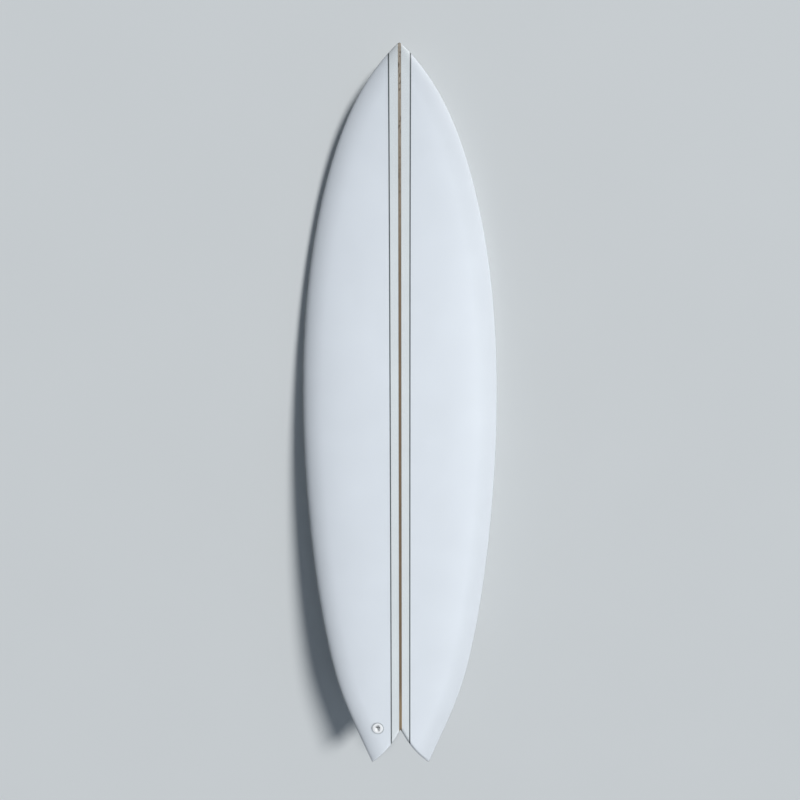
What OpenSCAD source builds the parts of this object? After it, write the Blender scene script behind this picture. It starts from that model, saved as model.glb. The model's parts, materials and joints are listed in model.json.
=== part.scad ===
// Swallow-tail surfboard: a glued-up foam and wood blank in a clear skin,
// with a leash plug in the deck and two removable fins in the bottom.
// Millimetres. Shaping frame: tail tips at y = 0, nose towards +y, deck up.
// The finished board lies on its fin tips and belly, nose towards +y.

/* [Outline] */
// Length from the tail tips to the nose
board_length = 1829; // [1700:1:1980]
// Width at the wide point
board_width = 505; // [470:1:550]
// Wide point, measured from the tail tips
wide_point = 945; // [900:1:1040]
// Width 305 mm back from the nose
nose_width = 366; // [335:1:395]
// Width 305 mm up from the tail tips
tail_width = 382; // [355:1:410]
// Distance between the two tail tips
tip_spread = 156; // [130:1:175]
// Depth of the swallow notch
notch_depth = 94; // [75:1:105]
// Width of the rolled deck edge round the notch
notch_round = 12; // [8:0.5:16]

/* [Rocker and thickness] */
// Lift of the bottom at the nose
nose_rocker = 115; // [85:1:140]
// Lift of the bottom at the tail tips
tail_rocker = 52; // [38:1:66]
// Flattest point of the bottom, measured from the tail tips
rocker_low = 860; // [780:1:940]
// Greatest thickness
thickness = 63.5; // [58:0.5:74]
// Thickest point, measured from the tail tips
thick_point = 950; // [880:1:1020]
// Thickness at the nose
nose_thickness = 14; // [12:0.5:20]
// Thickness at the tail
tail_thickness = 16; // [14:0.5:22]
// Hollow of the bottom across its middle
concave = 2.5; // [1:0.1:5]
// Height of the rail apex as a share of the thickness
rail_apex = 0.42; // [0.36:0.01:0.48]
// Radius of the nose seen from the side
nose_round = 12; // [10:0.5:18]

/* [Blank] */
// Width of the wood stringer
stringer_width = 7.4; // [5:0.1:9]
// Width of each foam strip beside the wood
band_width = 19.8; // [14:0.1:26]
// Width of each dark glue line
glue_width = 3.2; // [2.2:0.1:4]
// Thickness of the laminated skin
skin = 1; // [0.7:0.1:1.6]

/* [Leash plug] */
// Distance of the plug to the left of the stringer
plug_out = 62; // [54:1:72]
// Distance of the plug from the tail tips
plug_up = 104; // [92:1:140]
// Diameter of the flange
plug_flange = 28.6; // [27:0.1:30]
// Thickness of the flange
plug_flange_depth = 1.8; // [1.4:0.1:2.4]
// Diameter of the body under the flange
plug_body = 24.6; // [23.6:0.1:25.6]
// Depth of the whole plug
plug_depth = 15; // [13:0.1:16]
// Width of the cup mouth
cup_width = 12.6; // [11:0.1:14]
// Length of the cup mouth
cup_length = 18.6; // [17:0.1:20]
// Thickness of the cup floor
cup_floor = 1.8; // [1.4:0.1:2.4]
// Diameter of the cross bar
bar_diameter = 3.2; // [2.6:0.1:3.8]
// Depth of the cross bar's middle below the deck
bar_depth = 4.6; // [4:0.1:5.4]
// Length of each bar end in the plug wall
bar_hold = 3; // [2:0.1:3.6]
// Width of the resin ring round the flange
plug_resin = 2.2; // [1.6:0.1:4]

/* [Fin boxes] */
// Middle of each fin tab out from the stringer
fin_out = 113; // [104:1:120]
// Middle of each fin tab up from the tail tips
fin_up = 236; // [215:1:270]
// Toe-in of each fin, degrees
fin_toe = 3; // [1:0.1:4]
// Outward lean of each fin, degrees
fin_cant = 5; // [2:0.1:7]
// Width of the box flange
box_flange = 25; // [22:0.1:28]
// Thickness of the box flange
box_flange_depth = 2.6; // [2:0.1:3.4]
// Width of the box body
box_body = 14.4; // [13.6:0.1:16]
// Flange beyond the slot at the tail end
box_rear = 15; // [13:0.1:18]
// Flange beyond the slot at the nose end
box_front = 23; // [21:0.1:26]
// Flange beyond the body at both ends
box_lip = 6; // [4:0.1:7]
// Thickness of the box floor
box_floor = 2.2; // [1.6:0.1:3]
// Depth of the flange face below the board's bottom
box_recess = 0.25; // [0.1:0.05:0.5]
// Thickness of the resin round each box
box_resin = 1.2; // [0.8:0.1:2]

/* [Fins] */
// Length of the fin along the bottom
fin_base = 124; // [112:1:130]
// Depth of the fin
fin_depth = 128; // [105:1:145]
// Sweep of the fin tip behind the middle of the base
fin_sweep = 82; // [60:1:100]
// Shift of the base behind the middle of the tab
fin_back = 4; // [2:0.5:6]
// Greatest thickness at the base
fin_thickness = 7.6; // [6.6:0.1:8.6]
// Thickness at the tip
fin_tip_thickness = 2.4; // [1.8:0.1:3.2]
// Thickness of the edges
fin_edge = 0.8; // [0.6:0.1:1.2]
// Length of the tab
tab_length = 114.3; // [108:0.1:118]
// Depth of the tab
tab_depth = 12.7; // [12.2:0.1:14]
// Thickness of the tab
tab_thickness = 6.6; // [6:0.1:7.2]
// Space between the tab and its slot
tab_play = 0.3; // [0.3:0.05:0.45]

/* [Fin screws] */
// Diameter of the grub screw
screw_diameter = 4.8; // [4.4:0.1:5]
// Length of the grub screw
screw_length = 10.5; // [9.6:0.1:11]
// Depth of the screw point below the flange face
screw_reach = 10; // [9.6:0.1:10.6]
// Width of the hexagon socket across its corners
socket_width = 2.75; // [2.4:0.05:3]
// Depth of the hexagon socket
socket_depth = 3; // [2:0.1:4]

/* [Hidden] */
$fn = 64;

// Exponents of the outline, rocker, foil and section curves
nose_power = 2.27;
tail_power = 1.84;
notch_power = 3;
nose_rocker_power = 2.6;
tail_rocker_power = 2.3;
nose_foil_power = 1.8;
tail_foil_power = 2.2;
deck_power = 2.8;
bottom_power = 13;
// Extra exponent that draws the nose to a point, and how near the tip it acts
nose_draw = 0.14;
draw_power = 13;
// Share of the notch's spread that opens straight, while the rest flares to the tips
notch_straight = 0.68;
// Share of the deck's height above the rail apex that its edge at the notch loses
notch_drop = 0.7;
// Share of the half width that the hollow reaches
hollow_reach = 0.7;
// Below this height the outline turns in to the tips, and its slope at them
hip = 250;
tip_flare = 0.445;
// Shift of the notch in the blank for each millimetre of skin
notch_shift = 2;
// Where the shaper measures the nose and tail widths
width_station = 305;
// Step for slopes, and halvings in a search
slope_step = 0.5;
search_steps = 40;
// Twice the area below which a triangle is left out
speck = 1e-7;
// Extra length that lets a cutter come out of the face it cuts
over = 3;
// Overlap that joins the two halves of one solid
bond = 0.2;
// Free space under the fin base
base_play = 0.8;
// Fit and lean of the screws, and the sides of their sockets
screw_play = 0.05;
screw_lean = 45;
hexagon = 6;

// Blank lines counted out from the middle: notch or middle, wood, strip, glue line
wood_x = stringer_width / 2;
band_x = wood_x + band_width;
glue_x = band_x + glue_width;
LINES = [0, wood_x, band_x, glue_x];
blank_lines = 3;
rail_steps = 8;
rail_line = blank_lines + rail_steps;

// Half outline
half_w = board_width / 2;
tip_x = tip_spread / 2;
nose_run = board_length - wide_point;
station_share = (nose_run - width_station) / nose_run;
nose_fill = ln(nose_width / board_width) / ln(1 - pow(station_share, nose_power))
    - nose_draw * pow(station_share, draw_power);
tail_fill = ln(tail_width / board_width)
    / ln(1 - pow((wide_point - width_station) / wide_point, tail_power));

// The last place between a and b up to which a condition holds
function last_held(holds, a, b, n = search_steps) = let (m = (a + b) / 2)
    n == 0 ? m : holds(m) ? last_held(holds, m, b, n - 1) : last_held(holds, a, m, n - 1);

function nose_half(y, e) = let (u = (y - wide_point) / (nose_run - e))
    u >= 1 ? 0
    : (half_w - e) * pow(1 - pow(u, nose_power), nose_fill + nose_draw * pow(u, draw_power));
function rear_half(y) =
    half_w * pow(1 - pow((wide_point - y) / wide_point, tail_power), tail_fill);
hip_half = rear_half(hip);
hip_slope = (rear_half(hip + slope_step) - rear_half(hip - slope_step)) / (2 * slope_step);
function tail_half(y) = let (h = y / hip)
    (1 - 3 * h * h + 2 * h * h * h) * tip_x
    + (h - 2 * h * h + h * h * h) * hip * tip_flare
    + (3 * h * h - 2 * h * h * h) * hip_half
    + (h * h * h - h * h) * hip * hip_slope;
// Half width at y, drawn in by e
function half_width(y, e) = y >= wide_point ? nose_half(y, e)
    : (y >= hip ? rear_half(y) : tail_half(y)) - e;
// Height of the outline at a half width x near the nose
function nose_y(x, e) = last_held(function (y) nose_half(y, e) > x, wide_point, board_length - e);
// Half width of the notch and its inverse
function notch_half(y, e) = let (u = (notch_depth + notch_shift * e - y) / notch_depth)
    u <= 0 ? 0 : tip_x * (notch_straight * u + (1 - notch_straight) * pow(u, notch_power));
function notch_y(x, e) = last_held(function (y) notch_half(y, e) > x, 0, notch_depth + notch_shift * e);
function tip_y(e) = e == 0 ? 0
    : last_held(function (y) notch_half(y, e) > half_width(y, e), 0, notch_depth / 2);

// Side profile
function rocker(y) = y > rocker_low
    ? nose_rocker * pow((y - rocker_low) / (board_length - rocker_low), nose_rocker_power)
    : tail_rocker * pow((rocker_low - y) / rocker_low, tail_rocker_power);
function foil(y) = y > thick_point
    ? thickness - (thickness - nose_thickness)
        * pow((y - thick_point) / (board_length - thick_point), nose_foil_power)
    : thickness - (thickness - tail_thickness)
        * pow((thick_point - y) / thick_point, tail_foil_power);
function nose_shrink(y, e) = let (u = (y - board_length + nose_round) / (nose_round - e))
    u <= 0 ? 1 : u >= 1 ? 0 : sqrt(1 - u * u);
function apex(y) = rocker(y) + rail_apex * foil(y);
function hollow(y) = concave * (1 - pow(2 * y / board_length - 1, 2));

// Share of its height that the deck keeps where it rolls over into the notch
function notch_roll(x, y, e) = let (
        gap = norm([x - notch_half(y, e), max(y - notch_depth - notch_shift * e, 0)]),
        t = 1 - min(gap / notch_round, 1))
    1 - notch_drop * (1 - sqrt(1 - t * t));
// Deck and bottom heights at x, which is a share r of the half width
function deck_at(x, r, y, e) = apex(y) + notch_roll(x, y, e)
    * ((1 - rail_apex) * foil(y) - e) * nose_shrink(y, e) * sqrt(1 - pow(r, deck_power));
function bottom_at(r, y, e) = apex(y)
    - nose_shrink(y, e) * ((rail_apex * foil(y) - e) * sqrt(1 - pow(r, bottom_power))
        - (r < hollow_reach ? hollow(y) * pow(1 - pow(r / hollow_reach, 2), 2) : 0));
function deck_z(x, y) = deck_at(x, x / half_width(y, 0), y, 0);
function bottom_z(x, y) = bottom_at(x / half_width(y, 0), y, 0);

// Stations from the tail tip to the nose, with one wherever a blank line meets the outline
spread_out = 3;
STEPS = [5, 1, 3, 1, 2, 22, 5, 1, 3, 1];
function marks(e) = [tip_y(e), notch_y(glue_x, e), notch_y(band_x, e), notch_y(wood_x, e),
    notch_y(0, e), notch_y(0, e) + notch_round,
    nose_y(spread_out * glue_x, e), nose_y(glue_x, e), nose_y(band_x, e), nose_y(wood_x, e),
    board_length - e];
function stations(e) = let (m = marks(e))
    [for (s = [0 : len(STEPS) - 1], k = [0 : STEPS[s] - 1]) m[s] + (m[s + 1] - m[s]) * k / STEPS[s],
        m[len(STEPS)]];
function count_to(s) = s == 0 ? 0 : STEPS[s - 1] + count_to(s - 1);
at_tip = 0;
at_notch = [count_to(4), count_to(3), count_to(2), count_to(1)];
at_nose = [count_to(10), count_to(9), count_to(8), count_to(7)];
last = at_nose[0];

// Limits of the blank at station j, exact where a line meets the outline
function inner_x(j, y, e) = j == at_tip ? half_width(y, e)
    : j >= at_notch[0] ? 0
    : j == at_notch[1] ? wood_x
    : j == at_notch[2] ? band_x
    : j == at_notch[3] ? glue_x
    : notch_half(y, e);
function outer_x(j, y, e) = j == at_nose[0] ? 0
    : j == at_nose[1] ? wood_x
    : j == at_nose[2] ? band_x
    : j == at_nose[3] ? glue_x
    : half_width(y, e);
// Place of line i between a and b: close together at the rail, and beside the notch at both ends
function line_x(i, a, b) = let (s = min(max(glue_x, a), b), t = (i - blank_lines) / rail_steps)
    i <= blank_lines ? min(max(LINES[i], a), b)
    : i == rail_line ? b
    : s + (b - s) * (a > 0 ? (1 - cos(180 * t)) / 2 : sin(90 * t));
function share(x, b) = b > x ? x / b : 1;

// Grids of deck, bottom and notch wall points, drawn in by e
function grid(e, up) = let (ys = stations(e))
    [for (j = [0 : last]) let (y = ys[j], a = inner_x(j, y, e), b = outer_x(j, y, e))
        [for (i = [0 : rail_line]) let (x = line_x(i, a, b), r = share(x, b))
            [x, y, up ? deck_at(x, r, y, e) : bottom_at(r, y, e)]]];
function seam(e) = let (ys = stations(e))
    [for (j = [0 : at_notch[0]]) [inner_x(j, ys[j], e), ys[j], apex(ys[j])]];
deck_out = grid(0, true);
deck_in = grid(skin, true);
bottom_out = grid(0, false);
bottom_in = grid(skin, false);
seam_out = seam(0);
seam_in = seam(skin);

// Triangle lists
function sheet(g, i0, i1, j0, j1) = [for (j = [j0 : j1 - 1], i = [i0 : i1 - 1])
    each [[g[j][i], g[j + 1][i], g[j + 1][i + 1]], [g[j][i], g[j + 1][i + 1], g[j][i + 1]]]];
function ribbon(p, q) = [for (j = [0 : len(p) - 2])
    each [[p[j], p[j + 1], q[j + 1]], [p[j], q[j + 1], q[j]]]];
function line(g, i, j0, j1) = [for (j = [j0 : j1]) g[j][i]];
function flipped(t) = [for (k = t) [k[0], k[2], k[1]]];
function mirrored(t) = [for (k = t) [for (p = [k[0], k[2], k[1]]) [-p[0], p[1], p[2]]]];
function both(t) = concat(t, mirrored(t));
function real(t) = [for (k = t) if (norm(cross(k[1] - k[0], k[2] - k[0])) > speck) k];
function wall(i, j0, j1) = ribbon(line(deck_in, i, j0, j1), line(bottom_in, i, j0, j1));
function slab(i0, i1, j0, j1) = concat(sheet(deck_in, i0, i1, j0, j1),
    flipped(sheet(bottom_in, i0, i1, j0, j1)));
// One strip of the blank between two of its lines, on the right of the middle
function strip(i) = let (j0 = at_notch[i + 1], j1 = at_nose[i])
    concat(slab(i, i + 1, j0, j1), wall(i + 1, j0, j1), flipped(wall(i, j0, j1)));
function wood() = let (j0 = at_notch[1], j1 = at_nose[0])
    concat(slab(0, 1, j0, j1), wall(1, j0, j1), flipped(wall(0, j0, at_notch[0])));
function outer_foam() = let (j1 = at_nose[blank_lines])
    concat(slab(blank_lines, rail_line, at_tip, j1), flipped(wall(blank_lines, at_tip, j1)));
// Half a skin: outside, inside, rail seam, then the notch wall down to its own seam
function half_skin(out, in) = concat(sheet(out, 0, rail_line, at_tip, last),
    flipped(sheet(in, 0, rail_line, at_tip, last)),
    ribbon(line(out, rail_line, at_tip, last), line(in, rail_line, at_tip, last)),
    ribbon(seam_out, line(out, 0, at_tip, at_notch[0])),
    ribbon(seam_in, seam_out),
    ribbon(line(in, 0, at_tip, at_notch[0]), seam_in));

module shell(t) {
    u = real(t);
    polyhedron(points = [for (k = u, p = k) p],
        faces = [for (k = [0 : len(u) - 1]) [3 * k, 3 * k + 1, 3 * k + 2]]);
}

// Frames that lie in the deck or the bottom
function slope_x(x, y, up) = up
    ? atan((deck_z(x + slope_step, y) - deck_z(x - slope_step, y)) / (2 * slope_step))
    : atan((bottom_z(x + slope_step, y) - bottom_z(x - slope_step, y)) / (2 * slope_step));
function slope_y(x, y, up) = up
    ? atan((deck_z(x, y + slope_step) - deck_z(x, y - slope_step)) / (2 * slope_step))
    : atan((bottom_z(x, y + slope_step) - bottom_z(x, y - slope_step)) / (2 * slope_step));
plug_lean = [slope_y(plug_out, plug_up, true), -slope_x(plug_out, plug_up, true)];
fin_lean = [slope_y(fin_out, fin_up, false), -slope_x(fin_out, fin_up, false)];
plug_at = [plug_out, plug_up, deck_z(plug_out, plug_up)];
fin_at = [fin_out, fin_up, bottom_z(fin_out, fin_up)];

module plug_frame() {
    mirror([1, 0, 0])
        translate(plug_at)
            rotate([plug_lean[0], 0, 0])
                rotate([0, plug_lean[1], 0])
                    children();
}

// Box face at z = 0, fin hanging towards -z, nose towards +y, rail towards +x
module fin_frame() {
    translate(fin_at)
        rotate([fin_lean[0], 0, 0])
            rotate([0, fin_lean[1], 0])
                rotate([0, 0, fin_toe])
                    translate([0, 0, box_recess])
                        children();
}

module other_side() {
    mirror([1, 0, 0])
        children();
}

// Fin blade: flat inside, foiled outside
chord_power = 1.6;
chord_fill = 0.7;
sweep_power = 1.4;
foil_peak = 2.598;
fin_rows = 14;
fin_points = 9;
function row_share(k) = sin(90 * k / fin_rows);
function chord(s) = s >= 1 ? 0 : fin_base * pow(1 - pow(s, chord_power), chord_fill);
function blade_t(s) = fin_thickness + (fin_tip_thickness - fin_thickness) * s;
function blade_swell(s, f) = chord(s) > 0
    ? fin_edge + (blade_t(s) - fin_edge) * foil_peak * sqrt(f) * (1 - f)
    : fin_edge;
function blade_point(k, i, out) = let (s = row_share(k), f = (1 - cos(180 * i / fin_points)) / 2)
    [(out ? blade_swell(s, f) : 0) - fin_edge / 2,
        chord(s) * (1 / 2 - f) - fin_back - fin_sweep * pow(s, sweep_power),
        -base_play - fin_depth * s];
function blade_grid(out) = [for (k = [0 : fin_rows]) [for (i = [0 : fin_points]) blade_point(k, i, out)]];
blade_in = blade_grid(false);
blade_out = blade_grid(true);
function blade() = concat(sheet(blade_out, 0, fin_points, 0, fin_rows),
    flipped(sheet(blade_in, 0, fin_points, 0, fin_rows)),
    ribbon(line(blade_out, fin_points, 0, fin_rows), line(blade_in, fin_points, 0, fin_rows)),
    flipped(ribbon(line(blade_out, 0, 0, fin_rows), line(blade_in, 0, 0, fin_rows))),
    ribbon(blade_out[0], blade_in[0]));

// Rest on the floor: pitch at which the fin tips and the belly touch together
function turn_x(a, p) = [p[0], p[1] * cos(a) - p[2] * sin(a), p[1] * sin(a) + p[2] * cos(a)];
function turn_y(a, p) = [p[0] * cos(a) + p[2] * sin(a), p[1], p[2] * cos(a) - p[0] * sin(a)];
function turn_z(a, p) = [p[0] * cos(a) - p[1] * sin(a), p[0] * sin(a) + p[1] * cos(a), p[2]];
function from_fin(p) = fin_at + turn_x(fin_lean[0], turn_y(fin_lean[1],
    turn_z(fin_toe, turn_y(-fin_cant, p) + [0, 0, box_recess])));
fin_cloud = [for (r = blade_in, p = r) from_fin(p)];
belly_cloud = [for (r = bottom_out, p = r) p];
deck_cloud = [for (r = deck_out, p = r) p];
function lowest(c, a) = min([for (p = c) p[2] * cos(a) - p[1] * sin(a)]);
steepest = 20;
pitch = last_held(function (a) lowest(fin_cloud, a) < lowest(belly_cloud, a), 0, steepest);
ends = [for (p = concat(belly_cloud, deck_cloud)) p[1] * cos(pitch) + p[2] * sin(pitch)];
floor_shift = [0, -(min(ends) + max(ends)) / 2, -lowest(belly_cloud, pitch)];

module on_floor() {
    translate(floor_shift)
        rotate([-pitch, 0, 0])
            children();
}

// Flat shapes and cutters
module pill(length, width) {
    square([width, length - width], center = true);
    for (s = [-1, 1])
        translate([0, s * (length - width) / 2])
            circle(d = width);
}

slot_length = tab_length + 2 * tab_play;
slot_width = tab_thickness + 2 * tab_play;
slot_depth = tab_depth + tab_play;
box_depth = slot_depth + box_floor;
flange_length = slot_length + box_rear + box_front;
body_length = flange_length - 2 * box_lip;
box_middle = (box_front - box_rear) / 2;

// Outside of a fin box, grown by g, with its face raised out of the board by r
module box_envelope(g, r) {
    translate([0, box_middle, -r])
        linear_extrude(height = box_flange_depth + g + r)
            pill(flange_length + 2 * g, box_flange + 2 * g);
    translate([0, box_middle, 0])
        linear_extrude(height = box_depth + g)
            pill(body_length + 2 * g, box_body + 2 * g);
}

// Outside of the plug, with its face raised out of the deck by r
module plug_envelope(r) {
    translate([0, 0, -plug_depth])
        cylinder(d = plug_body, h = plug_depth);
    translate([0, 0, -plug_flange_depth])
        cylinder(d = plug_flange, h = plug_flange_depth + r);
}

module plug_bed(r) {
    translate([0, 0, -plug_depth - plug_resin])
        cylinder(d = plug_flange + 2 * plug_resin, h = plug_depth + plug_resin + r);
}

module screw_axis() {
    translate([0, tab_length / 2 + tab_play, screw_reach])
        rotate([screw_lean, 0, 0])
            children();
}

// Parts of the blank
foam_colour = [0.92, 0.94, 0.95];
band_colour = [0.90, 0.92, 0.91];
wood_colour = [0.53, 0.42, 0.25];
glue_colour = [0.13, 0.15, 0.16];
skin_colour = [0.88, 0.91, 0.93];
resin_colour = [0.66, 0.68, 0.68];
plastic_colour = [0.93, 0.94, 0.94];
steel_colour = [0.72, 0.73, 0.74];
fin_colour = [0.16, 0.18, 0.20];

module stringer() {
    color(wood_colour)
        on_floor()
            shell(both(wood()));
}

module foam_band_left() {
    color(band_colour)
        on_floor()
            shell(mirrored(strip(1)));
}

module foam_band_right() {
    color(band_colour)
        on_floor()
            shell(strip(1));
}

module glue_line_left() {
    color(glue_colour)
        on_floor()
            shell(mirrored(strip(2)));
}

module glue_line_right() {
    color(glue_colour)
        on_floor()
            shell(strip(2));
}

module foam_left() {
    color(foam_colour)
        on_floor()
            difference() {
                shell(mirrored(outer_foam()));
                plug_frame()
                    plug_bed(over);
                other_side()
                    fin_frame()
                        box_envelope(box_resin, over);
            }
}

module foam_right() {
    color(foam_colour)
        on_floor()
            difference() {
                shell(outer_foam());
                fin_frame()
                    box_envelope(box_resin, over);
            }
}

module deck_laminate() {
    color(skin_colour)
        on_floor()
            difference() {
                shell(both(half_skin(deck_out, deck_in)));
                plug_frame()
                    plug_bed(over);
            }
}

module bottom_laminate() {
    color(skin_colour)
        on_floor()
            difference() {
                shell(flipped(both(half_skin(bottom_out, bottom_in))));
                fin_frame()
                    box_envelope(box_resin, over);
                other_side()
                    fin_frame()
                        box_envelope(box_resin, over);
            }
}

// Leash plug
module leash_plug() {
    color(plastic_colour)
        on_floor()
            plug_frame()
                difference() {
                    plug_envelope(0);
                    translate([0, 0, -plug_depth + cup_floor])
                        linear_extrude(height = plug_depth)
                            pill(cup_length, cup_width);
                    bar_body();
                }
}

module bar_body() {
    bar_length = cup_width + 2 * bar_hold;
    translate([-bar_length / 2, 0, -bar_depth])
        rotate([0, 90, 0])
            cylinder(d = bar_diameter, h = bar_length);
}

module leash_plug_bar() {
    color(steel_colour)
        on_floor()
            plug_frame()
                bar_body();
}

module leash_plug_resin() {
    color(resin_colour)
        on_floor()
            plug_frame()
                difference() {
                    plug_bed(0);
                    plug_envelope(over);
                }
}

// Fin boxes, fins and screws, drawn for the right side
module box_shape() {
    difference() {
        box_envelope(0, 0);
        rotate([0, -fin_cant, 0])
            translate([0, 0, -over])
                linear_extrude(height = slot_depth + over)
                    square([slot_width, slot_length], center = true);
        screw_axis()
            translate([0, 0, -screw_length - screw_reach])
                cylinder(d = screw_diameter + 2 * screw_play, h = screw_length + screw_reach);
    }
}

module bed_shape() {
    difference() {
        box_envelope(box_resin, 0);
        box_envelope(0, over);
    }
}

module fin_shape() {
    rotate([0, -fin_cant, 0]) {
        shell(blade());
        translate([0, 0, -base_play - bond])
            linear_extrude(height = tab_depth + base_play + bond)
                square([tab_thickness, tab_length], center = true);
    }
}

module screw_shape() {
    point = screw_diameter / 2;
    screw_axis()
        translate([0, 0, -screw_length])
            difference() {
                union() {
                    cylinder(d = screw_diameter, h = screw_length - point);
                    translate([0, 0, screw_length - point])
                        cylinder(d1 = screw_diameter, d2 = 0, h = point);
                }
                translate([0, 0, -over])
                    cylinder(d = socket_width, h = socket_depth + over, $fn = hexagon);
            }
}

module fin_box_left() {
    color(plastic_colour)
        on_floor()
            other_side()
                fin_frame()
                    box_shape();
}

module fin_box_right() {
    color(plastic_colour)
        on_floor()
            fin_frame()
                box_shape();
}

module fin_box_resin_left() {
    color(resin_colour)
        on_floor()
            other_side()
                fin_frame()
                    bed_shape();
}

module fin_box_resin_right() {
    color(resin_colour)
        on_floor()
            fin_frame()
                bed_shape();
}

module fin_left() {
    color(fin_colour)
        on_floor()
            other_side()
                fin_frame()
                    fin_shape();
}

module fin_right() {
    color(fin_colour)
        on_floor()
            fin_frame()
                fin_shape();
}

module fin_screw_left() {
    color(steel_colour)
        on_floor()
            other_side()
                fin_frame()
                    screw_shape();
}

module fin_screw_right() {
    color(steel_colour)
        on_floor()
            fin_frame()
                screw_shape();
}

stringer();
foam_band_left();
foam_band_right();
glue_line_left();
glue_line_right();
foam_left();
foam_right();
deck_laminate();
bottom_laminate();
leash_plug();
leash_plug_bar();
leash_plug_resin();
fin_box_left();
fin_box_right();
fin_box_resin_left();
fin_box_resin_right();
fin_left();
fin_right();
fin_screw_left();
fin_screw_right();
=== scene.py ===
"""Dresses a swallow-tail surfboard: foam and wood blank, clear skin, leash plug, fins and a plain stage."""
import json
import math

import bmesh
import bpy
from bpy.props import FloatProperty, FloatVectorProperty, PointerProperty
from mathutils import Matrix, Vector


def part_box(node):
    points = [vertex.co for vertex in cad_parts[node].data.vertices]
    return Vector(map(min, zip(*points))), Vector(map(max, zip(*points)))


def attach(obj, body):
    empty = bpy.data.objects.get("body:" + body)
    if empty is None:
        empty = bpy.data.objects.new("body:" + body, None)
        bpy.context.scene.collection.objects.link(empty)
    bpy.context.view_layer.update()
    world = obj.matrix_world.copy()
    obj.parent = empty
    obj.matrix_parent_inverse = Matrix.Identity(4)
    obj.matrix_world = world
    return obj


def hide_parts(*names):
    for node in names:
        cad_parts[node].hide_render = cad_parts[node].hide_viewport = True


bl_info = {
    "name": "Swallow-tail surfboard",
    "version": (1, 0, 0),
    "blender": (4, 5, 0),
    "location": "3D View > Sidebar > Surfboard",
    "description": "Blank, skin, leash plug and fins of a swallow-tail surfboard on a plain stage",
    "category": "Object",
}

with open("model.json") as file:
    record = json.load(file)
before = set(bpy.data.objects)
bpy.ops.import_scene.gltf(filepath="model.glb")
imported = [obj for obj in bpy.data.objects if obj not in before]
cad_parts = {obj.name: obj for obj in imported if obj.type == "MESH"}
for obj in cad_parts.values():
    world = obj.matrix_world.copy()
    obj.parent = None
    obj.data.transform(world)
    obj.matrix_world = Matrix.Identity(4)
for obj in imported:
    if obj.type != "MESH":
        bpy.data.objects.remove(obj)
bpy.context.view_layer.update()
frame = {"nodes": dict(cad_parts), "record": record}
LEASH_BAR = next(m for m in frame["record"]["mounts"] if m["name"] == "leash_bar")

# Exponents of the outline, rocker, thickness and section curves
NOSE_POWER = 2.27
TAIL_POWER = 1.84
NOTCH_POWER = 3
NOSE_ROCKER_POWER = 2.6
TAIL_ROCKER_POWER = 2.3
NOSE_FOIL_POWER = 1.8
TAIL_FOIL_POWER = 2.2
DECK_POWER = 2.8
BOTTOM_POWER = 13
# Extra exponent that draws the nose to a point, and how near the tip it acts
NOSE_DRAW = 0.14
DRAW_POWER = 13
# Share of the notch's spread that opens straight, while the rest flares to the tips
NOTCH_STRAIGHT = 0.68
# Share of the deck's height above the rail apex that its edge at the notch loses
NOTCH_DROP = 0.7
# Shift of the notch in the blank for each millimetre of skin
NOTCH_SHIFT = 2
# Share of the half width that the bottom's hollow reaches
HOLLOW_REACH = 0.7
# Where a shaper measures the nose and tail widths
STATION = 0.305
# Height where the tail's outline turns in to the tips, and its slope at them
HIP = 0.25
TIP_FLARE = 0.445
# Step to each side of the hip that gives the outline's slope there
SLOPE_STEP = 0.0005
# Exponents of a fin's outline, sweep and tip, and the factor that makes its foil's greatest swell one
CHORD_POWER = 1.6
CHORD_FILL = 0.7
SWEEP_POWER = 1.4
TAPER_POWER = 6
FOIL_PEAK = 2.598
# Columns and rows of a narrow strip, a wide face and a fin blade
STRIP_GRID = (51, 241)
FACE_GRID = (101, 301)
BLADE_GRID = (101, 82)
# Share of the columns that crosses from one face to the other
CROSSING = 0.02
# Share of a skin's way across that climbs the wall of the notch
WALL_SHARE = 0.125
# Share of the rows beside the notch, and how far the others crowd at the notch and the nose
NOTCH_ROWS = 0.2
CROWDING = 0.95
# Lengths below this count as none
NIL = 0.000001
# Points nearer than this are made one, and slits up to this width are drawn together at an edge
JOIN = 0.000004
SLIT = 0.00003
# Spare length that lets a cutter come out of the face it cuts
OVER = 0.003
# How far a fin's tab goes into its blade, which makes the two one
SINK = 0.0001
# A rounded edge as rings: how far each is drawn in across, and how far it lies from the face, in radii
ROUNDED = ((0, 1), (0.6, 0.3), (2, 0))
# The resin's sanded top as rings: how far in each lies and how deep, in shares of its width and its sag
SAGGING = ((0, 0.4), (3 / 22, 0.2), (8 / 22, 0.8), (17 / 22, 1))
# From the right side of the board to either side
SIDES = {"right": Matrix(), "left": Matrix.Diagonal((-1, 1, 1, 1))}
# Scale of a wave texture that repeats every metre
WAVE = math.tau / 20
# Signs for the operations of Math nodes
SIGNS = {"+": "ADD", "-": "SUBTRACT", "*": "MULTIPLY", "/": "DIVIDE", "^": "POWER", "*+": "MULTIPLY_ADD"}
# What the kinds of nodes can begin with
PREFIXES = ("ShaderNode", "GeometryNode", "Node")


# Settings

def linear(code):
    """Linear colour from an sRGB hex code."""
    parts = [int(code[i:i + 2], 16) / 255 for i in (1, 3, 5)]
    return [p / 12.92 if p <= 0.04045 else ((p + 0.055) / 1.055) ** 2.4 for p in parts]


def metres(name, description, default):
    """A length to set, or three of them."""
    if isinstance(default, tuple):
        return FloatVectorProperty(name=name, description=description, default=default, subtype="TRANSLATION")
    return FloatProperty(name=name, description=description, default=default, unit="LENGTH")


def degrees(name, description, default):
    """An angle to set."""
    return FloatProperty(name=name, description=description, default=math.radians(default), unit="ROTATION")


def tint(name, description, code):
    """A colour to set."""
    return FloatVectorProperty(name=name, description=description, default=linear(code), subtype="COLOR")


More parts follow.
